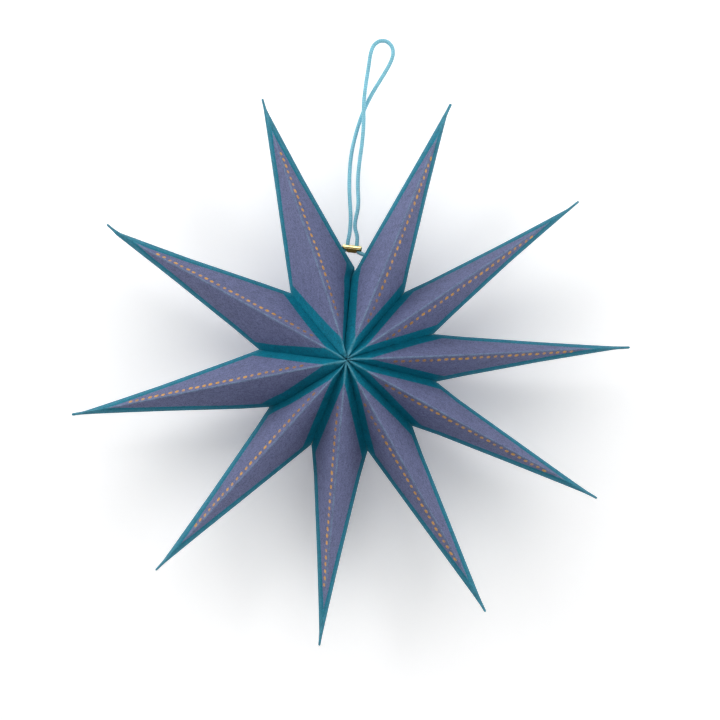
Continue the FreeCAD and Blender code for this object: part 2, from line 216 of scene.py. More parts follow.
def wire(tree, kind, inputs, output=0, **settings):
    """Add a node, set or link its inputs, and hand back one of its outputs."""
    node = tree.nodes.new(f"ShaderNode{kind}")
    for key, value in settings.items():
        setattr(node, key, value)
    for key, value in inputs.items():
        if isinstance(value, bpy.types.NodeSocket):
            tree.links.new(value, node.inputs[key])
        else:
            node.inputs[key].default_value = value
    return node.outputs[output]


def sums(tree, operation, first, second=0.0, third=0.0):
    """One Math node."""
    return wire(tree, "Math", {0: first, 1: second, 2: third}, operation=operation)


def fade(tree, value, start, end, low=0.0, high=1.0):
    """Smooth step: low below start, high above end."""
    return wire(
        tree,
        "MapRange",
        {"Value": value, "From Min": start, "From Max": end, "To Min": low, "To Max": high},
        interpolation_type="SMOOTHSTEP",
    )


def blend_colours(tree, share, first, second, mode="MIX"):
    """One Mix node for colours."""
    return wire(
        tree,
        "Mix",
        {"Factor": share, 6: first, 7: second},
        output=2,
        data_type="RGBA",
        blend_type=mode,
    )


def linear(red, green, blue):
    """A colour given as screen values from 0 to 255, as Blender's own linear values."""
    screen = np.array([red, green, blue]) / 255
    values = np.where(screen <= 0.04045, screen / 12.92, ((screen + 0.055) / 1.055) ** 2.4)
    return (*values.tolist(), 1.0)


# %% [markdown]
# ## Dyed paper
#
# The sheets are handmade-looking paper, dyed teal, with a lavender field printed on each facet
# and a row of gold dashes beside each ridge. The print follows the folds, so the mesh carries
# what the material needs: how far a spot lies inside the field's two edges, how far from the
# ridge, where it is along the row of dashes, and its place on the flat sheet. The fibres are
# noise on that place, stretched along the point, because paper for folding is brushed one way.

# %% Mix the paper's colours
TEAL = linear(2, 113, 137)
TEAL_PALE = linear(120, 176, 190)
LAVENDER = linear(105, 111, 146)
GOLD = linear(212, 160, 84)
GOLD_DEEP = linear(158, 116, 66)
# Paler colour for the ridges: partly from rubbing, partly a painted highlight along the fold.
RIDGE_WEAR_AND_HIGHLIGHT = (0.3, 0.66, 0.76, 1.0)
DASH_LENGTH = 1.9 * MM
DASH_WIDTH = 1.05 * MM
DASH_COUNT = 26
DASH_SLIDE = 0.5 * MM
DASH_STRAY = 0.3 * MM
DASH_SIZES = 0.35 * MM
DASH_FRAY = 0.5 * MM
DASH_SLANT = 0.25
DASH_ROUNDNESS = 2.6
PRINT_FRAY = 0.5 * MM
PAPER_RELIEF = 0.14 * MM
CLOUDS_PER_METRE = 230.0
FIBRES_PER_METRE = 1500.0
SPECKS_PER_METRE = 2600.0


def noise(tree, space, scale, detail, roughness, distortion=0.0):
    """One cloud of noise, about 0 to 1."""
    settings = {"Scale": scale, "Detail": detail, "Roughness": roughness, "Distortion": distortion}
    return wire(tree, "TexNoise", {"Vector": space, **settings})


def parts_of(tree, vector):
    """The three numbers of a vector, each as an output."""
    node = tree.nodes.new("ShaderNodeSeparateXYZ")
    tree.links.new(vector, node.inputs[0])
    return node.outputs[0], node.outputs[1], node.outputs[2]


def carried(tree, name):
    """The three numbers that the mesh carries under a name."""
    return parts_of(tree, wire(tree, "Attribute", {}, output="Vector", attribute_name=name))


# %% [markdown]
# A row of dashes is counted rather than placed: the mesh says how many dashes along a spot lies,
# and the nearest whole number picks the dash. A chance number for each dash slides it a little
# along the row, moves it a little off the row and changes its length, as a stencil does.

# %% Draw the dashes
def dash_shape(tree, clouds):
    """How much gold lies on a spot, from none to all."""
    turn, off_row, sheet = carried(tree, "dash_row")
    number = sums(tree, "ROUND", turn)
    seed = sums(tree, "MULTIPLY_ADD", sheet, 41.0, number)
    chance = wire(tree, "TexWhiteNoise", {"W": seed}, output="Color", noise_dimensions="1D")
    slide, stray, size = parts_of(tree, chance)
    along = sums(tree, "MULTIPLY", sums(tree, "SUBTRACT", turn, number), DASH_PITCH)
    along = sums(tree, "ADD", along, sums(tree, "MULTIPLY_ADD", slide, DASH_SLIDE, -DASH_SLIDE / 2))
    along = sums(tree, "MULTIPLY_ADD", off_row, DASH_SLANT, along)
    long_half = sums(tree, "MULTIPLY_ADD", size, DASH_SIZES, (DASH_LENGTH - DASH_SIZES) / 2)
    along = sums(tree, "ABSOLUTE", sums(tree, "DIVIDE", along, long_half))
    across = sums(tree, "ADD", off_row, sums(tree, "MULTIPLY_ADD", clouds, DASH_FRAY, -DASH_FRAY / 2))
    across = sums(tree, "ADD", across, sums(tree, "MULTIPLY_ADD", stray, DASH_STRAY, -DASH_STRAY / 2))
    across = sums(tree, "ABSOLUTE", sums(tree, "DIVIDE", across, DASH_WIDTH / 2))
    along, across = (sums(tree, "POWER", share, DASH_ROUNDNESS) for share in (along, across))
    dash = fade(tree, sums(tree, "ADD", along, across), 1.5, 0.6)
    dash = sums(tree, "MULTIPLY", dash, fade(tree, turn, -0.55, -0.45))
    dash = sums(tree, "MULTIPLY", dash, fade(tree, turn, DASH_COUNT - 0.45, DASH_COUNT - 0.55))
    fresh = fade(tree, turn, -1.0, 5.0, 0.85, 1.0)
    pressed = fade(tree, size, 0.0, 0.6, 0.75, 1.0)
    return sums(tree, "MULTIPLY", dash, sums(tree, "MULTIPLY", fresh, pressed))


# %% [markdown]
# The paper goes on layer by layer: dye, printed field, paler outer edges, ridges made paler partly
# by rubbing and partly as a painted highlight, then gold. Clouds, fibres and specks then make the
# whole sheet lighter and darker, and the same clouds and fibres raise it by a few hundredths of a
# millimetre.

# %% Dye and print the paper
def paper_material():
    """Teal paper with a lavender field, paler outer edges, ridges paler from rubbing and a painted highlight,
    and gold dashes.
    """
    material, tree, shader = start_material("dyed_paper")
    space = wire(tree, "TexCoord", {}, output="Object")
    flat = wire(tree, "Attribute", {}, output="Vector", attribute_name="sheet_place")
    brushed = wire(tree, "Mapping", {"Vector": flat, "Scale": (0.42, 1.0, 1.0), "Rotation": (0, 0, 0.3)})
    outer_inset, hub_inset, from_ridge = carried(tree, "field_inset")
    clouds = noise(tree, space, CLOUDS_PER_METRE, 5.0, 0.62)
    fibres = noise(tree, brushed, FIBRES_PER_METRE, 3.0, 0.7, 1.2)
    specks = noise(tree, flat, SPECKS_PER_METRE, 2.0, 0.6)

    wobble = sums(tree, "MULTIPLY_ADD", fibres, PRINT_FRAY, -PRINT_FRAY / 2)
    inside = sums(tree, "MINIMUM", outer_inset, hub_inset)
    field = fade(tree, sums(tree, "ADD", inside, wobble), -0.00015, 0.00025)
    dyed = blend_colours(tree, field, TEAL, LAVENDER)

    # The teal border is made paler towards the point's outer edges.
    paler_outer_edge = fade(tree, sums(tree, "ADD", outer_inset, wobble), -0.0019, -0.0002, 0.2, 0.0)
    dyed = blend_colours(tree, paler_outer_edge, dyed, TEAL_PALE)
    turn = carried(tree, "dash_row")[0]
    # Painted highlight: the ridges are made paler along the fold, partly from rubbing and partly as a painted
    # highlight.
    ridge_wear_and_highlight = fade(tree, sums(tree, "ABSOLUTE", from_ridge), 0.0001, 0.0008, 1.0, 0.0)
    ridge_wear_and_highlight = sums(tree, "MULTIPLY", ridge_wear_and_highlight, fade(tree, clouds, 0.3, 0.62, 0.45, 1.0))
    ridge_wear_and_highlight = sums(tree, "MULTIPLY", ridge_wear_and_highlight, fade(tree, turn, -6.0, 3.0, 0.26, 0.13))
    with_ridge_wear_and_highlight = blend_colours(tree, ridge_wear_and_highlight, dyed, RIDGE_WEAR_AND_HIGHLIGHT)
    gold = blend_colours(tree, fade(tree, turn, 0.0, 9.0), GOLD_DEEP, GOLD)
    printed = blend_colours(tree, dash_shape(tree, clouds), with_ridge_wear_and_highlight, gold)

    mottle = fade(tree, clouds, 0.3, 0.7, 0.92, 1.08)
    mottle = sums(tree, "ADD", mottle, fade(tree, fibres, 0.3, 0.7, -0.2, 0.2))
    mottle = sums(tree, "ADD", mottle, fade(tree, specks, 0.3, 0.7, -0.26, 0.26))
    grey = wire(tree, "CombineColor", {0: mottle, 1: mottle, 2: mottle})
    colour = blend_colours(tree, 1.0, printed, grey, mode="MULTIPLY")
    tree.links.new(colour, shader.inputs["Base Color"])
    shader.inputs["Roughness"].default_value = 0.62
    shader.inputs["Specular IOR Level"].default_value = 0.16
    relief = sums(tree, "ADD", clouds, fibres)
    bump = wire(tree, "Bump", {"Strength": 0.4, "Distance": PAPER_RELIEF, "Height": relief})
    tree.links.new(bump, shader.inputs["Normal"])
    return material


# %% [markdown]
# ## The folded points
#
# Cut across, a point is a hexagon: a ridge in front, a ridge behind, and two upright sides. Near
# the hub the sides are tall glue faces. From the notch outwards they shrink to a single fold. So
# a point is a row of such hexagons from the hub to the tip, each with its six corners rounded
# the way paper rounds over a fold.

# %% Shape one section after another
TIP_RADIUS = 148.0 * MM
APEX = 146.1 * MM
NOTCH_RADIUS = 47.6 * MM
LOOSE_NOTCH_RADIUS = 50.3 * MM
HALF_DEPTH = 34.8 * MM
SHEET = 0.4 * MM
HUB_HOLE = 0.12 * MM
STALK_HALF_WIDTH = 0.56 * MM
STALK_HALF_DEPTH = 0.8 * MM
TIP_ROUNDING = 0.7 * MM
FACET_COLUMNS = 9
FOLD_COLUMNS = 5
RIDGE_FOLD = 0.7 * MM
SIDE_FOLD = 0.6 * MM


def soft_max(first, second, softness):
    """The larger of two values, with the change from one to the other rounded off."""
    return (first + second + np.sqrt((first - second) ** 2 + softness**2)) / 2


def side_profile(reach, notch_radius, half):
    """Half width and half seam height at each reach, on one side of a point.

    Up to the notch the half width grows as reach times tan(half) and the seam falls from the hub's
    height to nothing. Beyond it the width runs straight to the apex and ends in a thin stalk.
    """
    notch = notch_radius * np.cos(half)
    width_there = notch_radius * np.sin(half)
    inner = reach * np.tan(half)
    outer = soft_max(width_there * (APEX - reach) / (APEX - notch), STALK_HALF_WIDTH, 0.35 * MM)
    width = np.where(reach <= notch, inner, outer)
    seam = np.maximum((HALF_DEPTH - SHEET) * (1 - reach / notch), 0.0) + SHEET / 2
    return width, seam


def ridge_height(reach):
    """Height of the ridge above the middle plane: straight from the hub to the tip's stalk."""
    return soft_max(SHEET + (HALF_DEPTH - SHEET) * (1 - reach / APEX), STALK_HALF_DEPTH, 0.5 * MM)


def section_corners(reach, left, right, ridge):
    """Six corners (outwards, sideways, height) of each section, from the front ridge to the left.

    left and right are each (half width, half seam height).
    """
    zero = np.zeros_like(reach)
    places = [
        (zero, ridge),
        (left[0], left[1]),
        (left[0], -left[1]),
        (zero, -ridge),
        (-right[0], -right[1]),
        (-right[0], right[1]),
    ]
    return np.stack([np.stack([reach, y, z], axis=-1) for y, z in places], axis=1)


def rounded_fold(before, corner, after, reach):
    """Quadratic curve that replaces a corner, from reach before it to reach after it."""
    back = before - corner
    ahead = after - corner
    back_length = np.linalg.norm(back, axis=1, keepdims=True)
    ahead_length = np.linalg.norm(ahead, axis=1, keepdims=True)
    start = corner + back * np.minimum(reach / back_length, 0.42)
    end = corner + ahead * np.minimum(reach / ahead_length, 0.42)
    t = np.linspace(0, 1, FOLD_COLUMNS)[None, :, None]
    return (1 - t) ** 2 * start[:, None] + 2 * t * (1 - t) * corner[:, None] + t**2 * end[:, None]


def section_rings(corners):
    """Closed rings of points through the corners of each section, with rounded folds."""
    folds = []
    for place in range(6):
        size = RIDGE_FOLD if place in (0, 3) else SIDE_FOLD
        before, corner, after = (corners[:, (place + step) % 6] for step in (-1, 0, 1))
        folds.append(rounded_fold(before, corner, after, size))
    strips = []
    for place in range(6):
        strips.append(folds[place])
        facet = place in (0, 2, 3, 5)
        t = np.linspace(0, 1, FACET_COLUMNS + 2 if facet else 4)[1:-1][None, :, None]
        start = folds[place][:, -1][:, None]
        end = folds[(place + 1) % 6][:, 0][:, None]
        strips.append(start + (end - start) * t)
    return np.concatenate(strips, axis=1)


# %% [markdown]
# Hands fold no two points alike. These small departures, in millimetres, were measured on the
# photograph: how far each ridge wanders sideways, how far each outer edge does, and how far each
# valley between two points lies from where even points would put it. Positive is anticlockwise.
# The first valley is the open slit: there the first point leans over the last one.

# %% Note what the hands did
POINT_COUNT = 10
SLIT = 0
RIDGE_REACH = np.array([12, 60, 120, 148]) * MM
RIDGE_SHIFTS = np.array([
    (-0.35, -0.55, -0.3, -0.4),
    (-0.25, -0.1, -0.1, 0.5),
    (-0.15, -0.2, 0.6, 0.3),
    (0.0, -0.15, 0.2, -0.2),
    (-0.7, -0.2, 0.3, 0.0),
    (0.1, 0.35, 0.7, 0.2),
    (1.2, 0.95, 0.3, -0.6),
    (0.5, 0.8, 1.1, 0.7),
    (-0.1, 0.15, 0.8, -0.9),
    (-0.9, -0.6, 0.85, 0.4),
]) * MM
EDGE_REACH = np.array([46, 60, 100, 141, 148]) * MM
LEFT_SHIFTS = np.array([
    (0.2, 0.4, 0.3, 0.2, -0.4),
    (0.0, -0.5, -0.6, 0.0, 0.5),
    (0.0, -0.2, -0.1, 0.5, 0.3),
    (0.0, -0.6, -0.3, 0.0, -0.2),
    (0.0, -0.3, 0.1, 0.3, 0.0),
    (0.0, -0.4, -0.1, 0.6, 0.2),
    (0.0, 0.0, -0.1, -0.2, -0.6),
    (0.2, 0.7, 0.6, 0.9, 0.7),
    (0.0, -0.2, 0.0, 0.7, -0.9),
    (0.2, 0.4, 0.5, 0.8, 0.4),
]) * MM
RIGHT_SHIFTS = np.array([
    (0.1, 0.4, 0.5, 0.1, -0.4),
    (0.2, 0.6, 0.9, 0.0, 0.5),
    (0.0, 0.4, 0.8, 0.4, 0.3),
    (0.0, 0.5, 0.2, -0.3, -0.2),
    (0.0, -0.1, -0.3, -0.3, 0.0),
    (0.2, 0.8, 0.7, 0.2, 0.2),
    (0.2, 0.4, 0.1, -0.6, -0.6),
    (0.0, 0.4, 1.1, 0.9, 0.7),
    (0.0, 0.1, 0.9, 0.7, -0.9),
    (0.0, 0.3, 1.0, 0.8, 0.4),
]) * MM
VALLEY_SHIFTS = np.array([1.45, 0.0, 0.4, 0.2, 0.0, 0.0, 0.0, 1.7, 0.6, 0.7]) * MM
HUB_DIPS = np.array([2.4, 1.1, 1.7, 2.3, 1.9, 1.2, 1.6, 1.0, 0.7, 2.8]) * MM
HUB_CURLS = np.array([-0.5, 0.35, -0.4, 0.5, -0.45, 0.4, -0.5, 0.4, 0.3, -0.6]) * MM
HUB_STARTS = np.array([0.7, 0.1, 0.2, 0.8, 0.3, 0.0, 0.1, 0.0, 0.0, 0.5]) * MM
TIP_LENGTHS = np.array([0.3, 1.0, 0.4, 0.3, 0.5, 0.6, 0.6, 0.6, 0.2, 0.4]) * MM


def valley_share(radius, valley):
    """How much of a valley's shift applies: little at the hub, all of it from 4 mm, less at the notch."""
    start, end = (44, 50.3) if valley == SLIT else (38, 47.6)
    return np.interp(radius, np.array([0, 4, start, end]) * MM, [0.25, 1.0, 1.0, 0.25])


def dip_share(reach):
    """How much of the hub's dip applies: all of it at the hub, none from 4 mm outwards."""
    return np.clip(1 - reach / (4 * MM), 0, 1) ** 2


def lay_by_hand(corners, number, half):
    """Move the corners of one point's sections as the measured departures say.

    Each departure is read off its table at the section's reach. The last point's side at the slit
    also stands back a little behind and gives way in front, where the slit opens.
    """
    place = number - 1
    moved = corners.copy()
    reach = corners[:, 0, 0]
    ridge = np.interp(reach, RIDGE_REACH, RIDGE_SHIFTS[place])
    ridge = ridge + HUB_CURLS[place] * np.clip(1 - reach / (6 * MM), 0, 1) ** 2
    moved[:, 0, 1] += ridge
    moved[:, 3, 1] += np.interp(reach, RIDGE_REACH, RIDGE_SHIFTS[place] * [-0.5, -0.5, 0.5, 1.0])
    moved[:, 0, 2] -= HUB_DIPS[place] * dip_share(reach)
    moved[:, 3, 2] += HUB_DIPS[place] * dip_share(reach)
    sides = ((1, 2, 1, place, LEFT_SHIFTS), (5, 4, -1, (place + 1) % POINT_COUNT, RIGHT_SHIFTS))
    for front, back, sign, valley, edges in sides:
        edge = np.interp(reach, EDGE_REACH, edges[place]) * np.clip((reach - 40 * MM) / (6 * MM), 0, 1)
        fold = VALLEY_SHIFTS[valley] * valley_share(reach / math.cos(half), valley)
        dip = (HUB_DIPS[valley] + HUB_DIPS[valley - 1]) / 2 * dip_share(reach)
        moved[:, front, 0] -= sign * math.sin(half) * fold
        moved[:, front, 1] += math.cos(half) * fold + edge
        moved[:, back, 1] += edge
        moved[:, front, 2] -= dip
        moved[:, back, 2] += dip
    if number == POINT_COUNT:
        behind = np.interp(reach, np.array([10, 30, 49, 60]) * MM, [0.0, 0.3, 0.45, 0.0]) * MM
        moved[:, 4, 1] -= behind
        moved[:, 5, 1] += np.interp(reach, np.array([36, 42, 46, 56]) * MM, [0.0, 0.9, 0.9, 0.0]) * MM
    start = HUB_STARTS[place] * np.clip(1 - (reach - HUB_HOLE) / (5 * MM), 0, 1)
    end = TIP_LENGTHS[place] * np.clip((reach - 120 * MM) / (28 * MM), 0, 1)
    moved[:, :, 0] += (start + end)[:, None]
    return moved


# %% [markdown]
# Where the print lies is worked out on the even shape, seen from the front, in a point's own
# plan: x outwards from the hub, y sideways. So the print shifts with the paper when hands shift
# it. The lavender field of a facet is a triangle. Its corners are near the tip and near the hub
# on the ridge, and one beside the notch, set in from both edges. Only beside the slit does the
# last point's fold lie inside its print, so that its teal band is narrower there.

# %% Work out where the print lies
FIELD_TIP = 128.6 * MM
FIELD_HUB = 11.2 * MM
SIDE_BORDER = 2.05 * MM
VALLEY_BORDER = 3.55 * MM
DASH_FIRST = np.array([22.4, 22.9, 24.4, 23.8, 24.1, 24.2, 23.7, 22.7, 21.8, 22.9]) * MM
DASH_LAST = np.array([115.3, 116.3, 116.5, 116.2, 116.0, 116.0, 116.0, 115.6, 114.7, 115.3]) * MM
DASH_PITCH = float(np.mean(DASH_LAST - DASH_FIRST)) / (DASH_COUNT - 1)
DASH_OFFSETS = np.array([2.6, 2.8, 1.85, 1.6, 2.4, 2.3, 2.05, 1.95, 2.3, 2.4]) * MM
DASH_OFFSET_TIP = 1.0 * MM


def inset_from_line(x, y, start, end):
    """Distance of each (x, y) from the line through start and end, positive towards y = 0."""
    along = np.array(end) - np.array(start)
    along = along / np.linalg.norm(along)
    return (x - start[0]) * along[1] - (y - start[1]) * along[0]


def field_corner(notch_radius, half):
    """The field's corner beside the notch, set in from the side edge and from the valley."""
    notch = np.array([notch_radius * math.cos(half), notch_radius * math.sin(half)])
    edge = np.array([APEX, 0.0]) - notch
    edge = edge / np.linalg.norm(edge)
    valley = notch / np.linalg.norm(notch)
    across_edge = np.array([edge[1], -edge[0]])
    across_valley = np.array([valley[1], -valley[0]])
    offsets = np.array([across_edge @ notch + SIDE_BORDER, VALLEY_BORDER])
    return np.linalg.solve(np.stack([across_edge, across_valley]), offsets)


def field_inset(x, y, notch_radii, half):
    """How far each spot lies inside the field's outer edge and inside its hub edge."""
    outer = np.zeros_like(x)
    inner = np.zeros_like(x)
    for side, notch_radius in zip((1, -1), notch_radii):
        corner = field_corner(notch_radius, half)
        here = y * side >= 0
        outer[here] = inset_from_line(x, np.abs(y), corner, (FIELD_TIP, 0.0))[here]
        inner[here] = inset_from_line(x, np.abs(y), (FIELD_HUB, 0.0), corner)[here]
    return outer, inner


def dash_row(x, clockwise, number):
    """Number of the dash at each spot, and how far the spot lies from the middle of the row."""
    first, last = DASH_FIRST[number - 1], DASH_LAST[number - 1]
    share = np.clip((x - first) / (last - first), 0, 1)
    offset = DASH_OFFSETS[number - 1] + (DASH_OFFSET_TIP - DASH_OFFSETS[number - 1]) * share**2.5
    return (x - first) / (last - first) * (DASH_COUNT - 1), clockwise - offset


def slit_slip(x, y):
    """How far the last point's field runs on into its fold beside the slit."""
    slip = np.interp(x, np.array([11, 23, 37, 50]) * MM, [1.7, 1.6, 0.5, 0.0]) * MM
    return slip * np.clip(-y / (1.0 * MM), 0, 1)


paper = paper_material()
print("paper material with", len(paper.node_tree.nodes), "nodes")

# %% [markdown]
# Now the ten points. Each has its own opening angle and bearing, measured on the photograph. The
# even shape gives the print, the handmade one gives the mesh, and between its folds each facet
# swells by a tenth of a millimetre or so, as a hollow paper form does.

# %% Build the points
STAR_CENTRE = np.array([-18.8, -2.4, -171.7]) * MM
OPENINGS = np.radians([34.4, 33.1, 30.6, 32.3, 32.8, 36.6, 36.8, 37.4, 42.3, 43.0])
FIRST_BEARING = math.radians(68.45)
half_steps = (OPENINGS[:-1] + OPENINGS[1:]) / 2
bearings = FIRST_BEARING - np.concatenate([[0.0], np.cumsum(half_steps)])
shapes = np.random.default_rng(6)


def star_places(x, y, z, bearing):
    """Turn a point's own x, y, z to its bearing and stand it in the star, front towards -Y."""
    right = x * math.cos(bearing) - y * math.sin(bearing)
    up = x * math.sin(bearing) + y * math.cos(bearing)
    return np.stack([right, -z, up], axis=-1) + STAR_CENTRE


def reaches(notches):
    """Where the sections stand: close together at the hub, at the notches and at the tip."""
    rows = [
        np.linspace(HUB_HOLE, 5 * MM, 14),
        np.linspace(5 * MM, 130 * MM, 90),
        np.linspace(130 * MM, TIP_RADIUS - 0.6 * MM, 24),
        TIP_RADIUS - np.array([0.4, 0.2, 0.05, 0.0]) * MM,
        np.array(notches),
    ]
    return np.unique(np.round(np.concatenate(rows), 6))


def facet_waves(x):
    """A few slow waves along the point, at most about 0.3 mm high."""
    return sum(
        shapes.uniform(-0.12, 0.12) * MM * np.sin(x * shapes.uniform(60, 190) + shapes.uniform(0, 6.28))
        for _ in range(3)
    )


def build_point(number):
    """One folded paper point with what its print needs."""
    half = OPENINGS[number - 1] / 2
    left_radius = NOTCH_RADIUS
    right_radius = LOOSE_NOTCH_RADIUS if number == POINT_COUNT else NOTCH_RADIUS
    reach = reaches([left_radius * math.cos(half), right_radius * math.cos(half)])
    into_tip = ((reach - (TIP_RADIUS - TIP_ROUNDING)) / TIP_ROUNDING).clip(0)
    rounding = np.sqrt(np.clip(1 - into_tip**2, 0.12, 1))
    left = np.array(side_profile(reach, left_radius, half)) * rounding
    right = np.array(side_profile(reach, right_radius, half)) * rounding
    height = ridge_height(reach) * rounding
    even_corners = section_corners(reach, left, right, height)
    even = section_rings(even_corners)
    rings = section_rings(lay_by_hand(even_corners, number, half))

    x, y, z = np.moveaxis(even, -1, 0)
    outer, inner = field_inset(x, y, (left_radius, right_radius), half)
    if number == POINT_COUNT:
        inner = inner + slit_slip(x, y)
    turn, off_row = dash_row(x, -y, number)
    depth_share = np.abs(z) / np.maximum(height, 1e-6)[:, None]
    swell = 4 * depth_share * (1 - depth_share) * np.clip((x - 8 * MM) / (30 * MM), 0, 1)
    bulge = (0.12 * MM + facet_waves(x)) * swell
    points = star_places(
        rings[..., 0],
        rings[..., 1] * (1 + bulge / (8 * MM)),
        rings[..., 2] + np.sign(z) * bulge,
        bearings[number - 1],
    )

    rows, columns = y.shape
    faces = ring_faces(rows, columns).tolist()
    faces.append(list(range(columns))[::-1])
    faces.append([(rows - 1) * columns + column for column in range(columns)])
    piece = mesh_piece(f"paper_point_{number:02d}", points.reshape(-1, 3), faces, paper)
    store(piece, "field_inset", np.stack([outer, inner, y], axis=-1))
    store(piece, "dash_row", np.stack([turn, off_row, np.full_like(x, number)], axis=-1))
    store(piece, "sheet_place", np.stack([x, y, z * 0.6 + number * 0.1], axis=-1))
    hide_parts(f"point_{number:02d}")
    return piece


paper_points = [build_point(number) for number in range(1, POINT_COUNT + 1)]
print("points with", [len(piece.data.polygons) for piece in paper_points], "faces")

# %% [markdown]
# ## The knitted cord
#
# Close up, the cord is a little knitted tube: columns of V-shaped stitches run along it. The tube
# follows the cord's line with its radius raised where a leg of a stitch lies, so the stitches are
# real relief. A radius that is only painted on would show a smooth edge against the light.

# %% Knit the cord
CORD_COLOUR = linear(168, 230, 246)
# The deeper blue is painted shade for the hollows between the stitches.
CORD_PAINTED_SHADE = linear(100, 184, 208)
STITCH_COLUMNS = 6
STITCH_LENGTH = 1.25 * MM
STITCH_RELIEF = 0.13 * MM
AROUND = 36
ROWS_PER_STITCH = 6


def resample(line, step):
    """Points at even distances along a line."""
    lengths = run_lengths(line)
    count = int(round(lengths[-1] / step))
    wanted = np.linspace(0, lengths[-1], count + 1)
    return np.stack([np.interp(wanted, lengths, line[:, axis]) for axis in range(3)], axis=-1), wanted


def stitch_height(along, around):
    """Relief of the knit, 0 to 1: each column is a chain of Vs, two slanting legs side by side."""
    column = around / (2 * np.pi) * STITCH_COLUMNS
    in_column = column - np.floor(column)
    leg = np.abs(np.sin(2 * np.pi * in_column)) ** 0.6
    slant = np.abs(2 * in_column - 1)
    step = along / STITCH_LENGTH + 0.7 * slant
    bead = np.abs(np.sin(np.pi * step)) ** 0.5
    return leg * bead


def knitted_tube(name, line, diameter, material):
    """A knitted tube round a line, closed at both ends."""
    spine, along = resample(line, STITCH_LENGTH / ROWS_PER_STITCH)
    heading = np.gradient(spine, axis=0)
    heading /= np.linalg.norm(heading, axis=1, keepdims=True)
    depth = np.array([0.0, 1.0, 0.0])
    across = depth - heading * (heading @ depth)[:, None]
    across /= np.linalg.norm(across, axis=1, keepdims=True)
    beside = np.cross(heading, across)
    around = np.linspace(0, 2 * np.pi, AROUND, endpoint=False)
    height = stitch_height(along[:, None], around[None, :])
    radius = diameter / 2 - STITCH_RELIEF * (1 - height)
    points = (
        spine[:, None]
        + radius[..., None] * np.cos(around)[None, :, None] * across[:, None]
        + radius[..., None] * np.sin(around)[None, :, None] * beside[:, None]
    )
    rows = len(spine)
    faces = ring_faces(rows, AROUND).tolist()
    faces.append(list(range(AROUND))[::-1])
    faces.append([(rows - 1) * AROUND + column for column in range(AROUND)])
    piece = mesh_piece(name, points.reshape(-1, 3), faces, material)
    run = np.broadcast_to(along[:, None], height.shape)
    store(piece, "stitch", np.stack([height, run, height * 0], axis=-1))
    return piece


def cord_material():
    """Pale blue yarn with painted shade between the stitches, and a soft sheen of loose fibres."""
    material, tree, shader = start_material("knitted_cord")
    raised = carried(tree, "stitch")[0]
    space = wire(tree, "TexCoord", {}, output="Object")
    fuzz = noise(tree, space, 2600.0, 3.0, 0.6)
    dye = noise(tree, space, 160.0, 2.0, 0.5)
    # Painted shade: the yarn is coloured darker where the knit's relief is low, between the stitches.
    painted_light_on_stitches = fade(tree, raised, 0.05, 0.8)
    colour = blend_colours(tree, painted_light_on_stitches, CORD_PAINTED_SHADE, CORD_COLOUR)
    tone = sums(tree, "ADD", fade(tree, fuzz, 0.3, 0.7, 0.85, 1.1), fade(tree, dye, 0.3, 0.7, -0.06, 0.06))
    grey = wire(tree, "CombineColor", {0: tone, 1: tone, 2: tone})
    tree.links.new(blend_colours(tree, 1.0, colour, grey, mode="MULTIPLY"), shader.inputs["Base Color"])
    shader.inputs["Roughness"].default_value = 0.85
    shader.inputs["Specular IOR Level"].default_value = 0.2
    shader.inputs["Sheen Weight"].default_value = 0.25
    shader.inputs["Sheen Roughness"].default_value = 0.5
    bump = wire(tree, "Bump", {"Strength": 0.4, "Distance": 0.00006, "Height": fuzz})
    tree.links.new(bump, shader.inputs["Normal"])
    return material


yarn = cord_material()
cord = knitted_tube("knitted_cord", cord_line, CORD_DIAMETER, yarn)
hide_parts("hanging_cord")
print("the cord has", len(cord.data.polygons), "faces")

# %% [markdown]
# The cord's two ends are knotted inside the end points, where nobody sees them unless the star is
# opened. Each knot is the same knitted tube, tied once: a trefoil, the simplest knot there is.

# %% Tie the knots
KNOT_HALF = 1.45 * MM


def trefoil(centre, size):
    """Closed trefoil line: (sin t + 2 sin 2t, cos t - 2 cos 2t, -sin 3t), scaled to a size."""
    t = np.linspace(0, 2 * np.pi, 120)
    shape = np.stack([np.sin(t) + 2 * np.sin(2 * t), -np.sin(3 * t), np.cos(t) - 2 * np.cos(2 * t)], axis=-1)
    return np.array(centre) + shape / 3 * size


for place in ("first", "last"):
    node = f"knot_in_{place}_point"
    low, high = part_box(node)
    knot = knitted_tube(f"tied_{node}", trefoil((low + high) / 2, KNOT_HALF), 1.7 * MM, yarn)
    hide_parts(node)

# %% [markdown]
# ## The brass clamp
#
# The clamp's CAD shape is already what the photograph shows, so it stays and only gets its
# finish: polished brass with fine handling marks. Brass has no colour of its own beyond what it
# mirrors, so the pale room and the dark paper make its stripes. Its lower half is coloured a dark
# olive, a painted dark reflection.

# %% Polish the clamp
# The next colour and line paint a dark reflection on the clamp's lower half.
PAINTED_DARK_REFLECTION = linear(122, 104, 56)
PAINTED_REFLECTION_EDGE = (-113.7 * MM, -113.0 * MM)
CLAMP_TILT = 0.115


